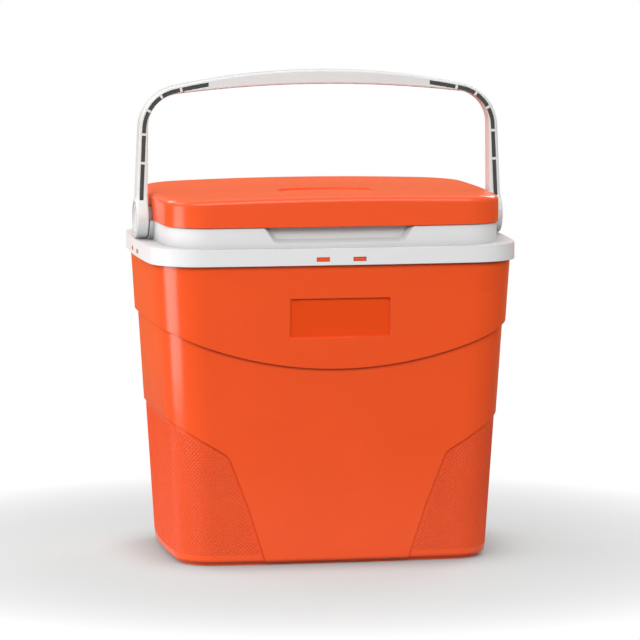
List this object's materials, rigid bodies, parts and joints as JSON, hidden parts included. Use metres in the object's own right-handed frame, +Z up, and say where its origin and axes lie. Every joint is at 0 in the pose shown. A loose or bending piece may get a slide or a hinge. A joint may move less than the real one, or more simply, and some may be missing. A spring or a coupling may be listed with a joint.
{
  "type": "vaccine carrier",
  "caption": "Small insulated carrier box with a tapered foamed body, a white collar, a lift-off lid, ice packs round a chamber, and a swinging bail handle.",
  "frame": {"origin": "middle of the footprint, on the surface that the box stands on", "axes": "+Z up, +X to the right and -Y towards the front, which has the badge recess and the finger recess"},
  "size_m": [0.25, 0.179, 0.325],
  "materials": {
    "orange_plastic": "satin",
    "white_plastic": "satin",
    "liner_plastic": "gloss",
    "foam": "matte",
    "gasket_rubber": "matte",
    "inlay_plastic": "matte",
    "pin_plastic": "satin",
    "pack_plastic": "satin",
    "stopper_plastic": "satin"
  },
  "bodies": {
    "box": {"outer_shell": "orange_plastic", "foam_body": "foam", "inner_liner": "liner_plastic", "rim_collar": "white_plastic", "foam_port_plug": "orange_plastic", "pivot_pin_left": "pin_plastic", "pivot_pin_right": "pin_plastic", "ice_pack_front": "pack_plastic", "ice_pack_back": "pack_plastic", "ice_pack_left": "pack_plastic", "ice_pack_right": "pack_plastic", "ice_pack_stoppers": "stopper_plastic"},
    "lid": {"lid_top": "orange_plastic", "lid_foam": "foam", "lid_liner": "liner_plastic", "lid_gasket": "gasket_rubber"},
    "bail": {"bail_handle": "white_plastic", "arm_inlays_left": "inlay_plastic", "arm_inlays_right": "inlay_plastic", "hub_cap_left": "white_plastic", "hub_cap_right": "white_plastic"}
  },
  "joints": [
    {"name": "lid_lift", "type": "slide", "parent": "box", "child": "lid", "axis": [0, 0, 1], "range_m": [0, 0.045]},
    {"name": "bail_swing", "type": "hinge", "parent": "box", "child": "bail", "pos_m": [0, 0, 0.2265], "axis": [1, 0, 0], "range_deg": [-92, 92]}
  ]
}
